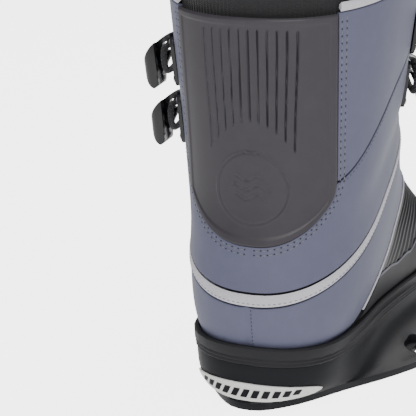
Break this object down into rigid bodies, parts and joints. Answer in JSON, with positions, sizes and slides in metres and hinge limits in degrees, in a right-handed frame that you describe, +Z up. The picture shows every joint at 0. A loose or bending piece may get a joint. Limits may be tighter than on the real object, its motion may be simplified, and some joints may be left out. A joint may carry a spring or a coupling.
{
  "type": "wakeboard boot",
  "caption": "Tall laced water-sport boot with a moulded rear spine panel, on a rigid winged chassis with slots for board screws.",
  "frame": {"origin": "on the board, midway between the left and right wing slots, under the chassis", "axes": "+Y from heel to toe, +X to the wearer's right, +Z up the leg"},
  "size_m": [0.1983, 0.3073, 0.2997],
  "materials": {
    "board": "fibreboard",
    "button_plastic": "satin",
    "chassis_plastic": "gloss moulded",
    "footbed_foam": "foam",
    "grey_skin": "smooth coated",
    "guard_rubber": "matt",
    "hook_plastic": "gloss moulded",
    "inlay_plastic": "gloss white",
    "lace_cord": "braided",
    "lining_fabric": "ribbed knit",
    "lock_plastic": "fine texture",
    "nut_steel": "zinc",
    "pull_rubber": "matt",
    "rivet_steel": "satin",
    "screw_steel": "zinc",
    "silver_trim": "fine pebbled",
    "sole_rubber": "matt moulded",
    "spine_tpu": "satin moulded",
    "spring_steel": "bright",
    "tongue_fabric": "padded",
    "vamp_skin": "satin ribbed",
    "webbing": "woven webbing"
  },
  "bodies": {
    "boot": {"chassis": "chassis_plastic", "heel_inlay": "inlay_plastic", "chassis_screws": "screw_steel", "tee_nuts": "nut_steel", "mount_board": "board", "outsole": "sole_rubber", "toe_cap": "vamp_skin", "vamp": "vamp_skin", "heel_counter": "grey_skin", "quarter": "grey_skin", "upper_quarter_right": "grey_skin", "upper_quarter_left": "grey_skin", "spine_panel": "spine_tpu", "heel_trim": "silver_trim", "side_trim_right": "silver_trim", "side_trim_left": "silver_trim", "collar_trim_right": "silver_trim", "collar_trim_left": "silver_trim", "eyestay_right": "webbing", "eyestay_left": "webbing", "lining": "lining_fabric", "footbed": "footbed_foam", "tongue": "tongue_fabric", "tongue_guard": "guard_rubber", "lace_loops_right": "webbing", "lace_loops_left": "webbing", "hooks_right": "hook_plastic", "hooks_left": "hook_plastic", "hook_rivets": "rivet_steel", "lace": "lace_cord", "lock_body": "lock_plastic", "lock_spring": "spring_steel", "lace_pull": "pull_rubber", "loop_anchor": "webbing"},
    "button": {"lock_button": "button_plastic"},
    "pull_loop": {"rear_loop": "webbing"}
  },
  "joints": [
    {"name": "lock_press", "type": "slide", "parent": "boot", "child": "button", "axis": [1, 0, 0], "range_m": [0, 0.003], "stiffness_N_per_m": 200, "springref_m": -0.002, "deforming": ["lock_spring"]},
    {"name": "pull_loop_fold", "type": "hinge", "parent": "boot", "child": "pull_loop", "pos_m": [0, -0.18609, 0.26826], "axis": [1, 0, 0], "range_deg": [-60, 85]}
  ]
}
